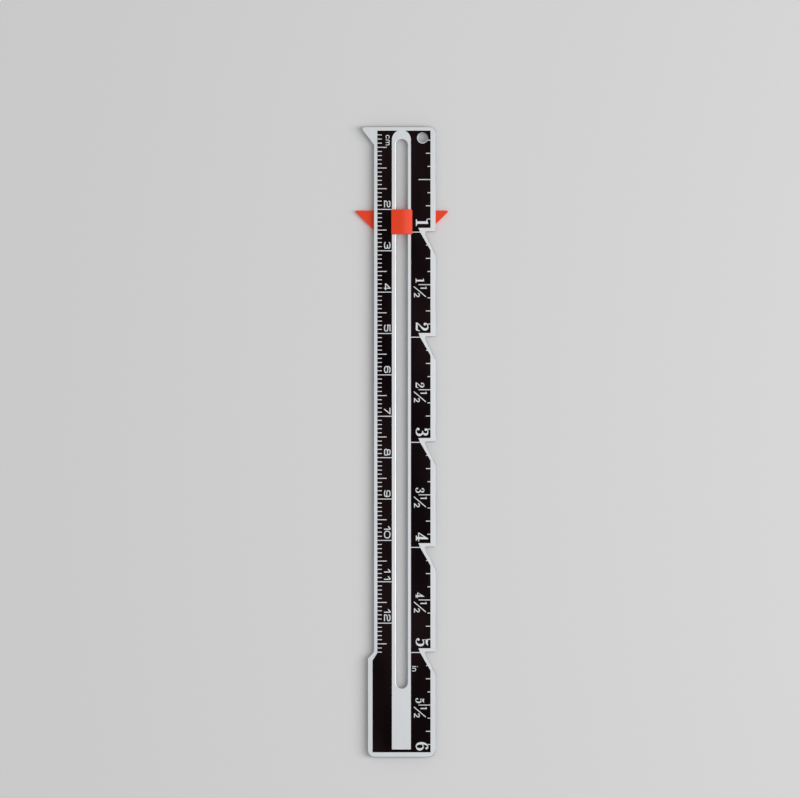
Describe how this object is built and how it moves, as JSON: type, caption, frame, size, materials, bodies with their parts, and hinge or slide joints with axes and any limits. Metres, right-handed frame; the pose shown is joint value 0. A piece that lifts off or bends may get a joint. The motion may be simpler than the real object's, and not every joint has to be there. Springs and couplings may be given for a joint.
{
  "type": "sewing gauge",
  "caption": "Flat metal sewing gauge with printed inch and centimetre scales, a stepped edge, a pointed beak and a plastic pointer that slides in a long slot.",
  "frame": {"origin": "middle of the gauge's box at its lowest point, the back of the slider's pointer plate; Y = 0 is the centre line of the slot", "axes": "+X along the rule from the zero end to the foot, +Y towards the edge with the inch scale, +Z out of the printed face"},
  "size_m": [0.1524, 0.0222, 0.0033],
  "materials": {
    "aluminium_sheet": "satin, rolled sheet with punched edges",
    "black_print": "semi-gloss black screen print",
    "red_plastic": "glossy orange-red moulding"
  },
  "bodies": {
    "blade": {"gauge_blade": "aluminium_sheet", "scale_print": "black_print"},
    "slider": {"slider_pointer": "red_plastic", "slider_cap": "red_plastic"}
  },
  "joints": [
    {"name": "slider_travel", "type": "slide", "parent": "blade", "child": "slider", "axis": [1, 0, 0], "range_m": [-0.01787, 0.11057]}
  ]
}
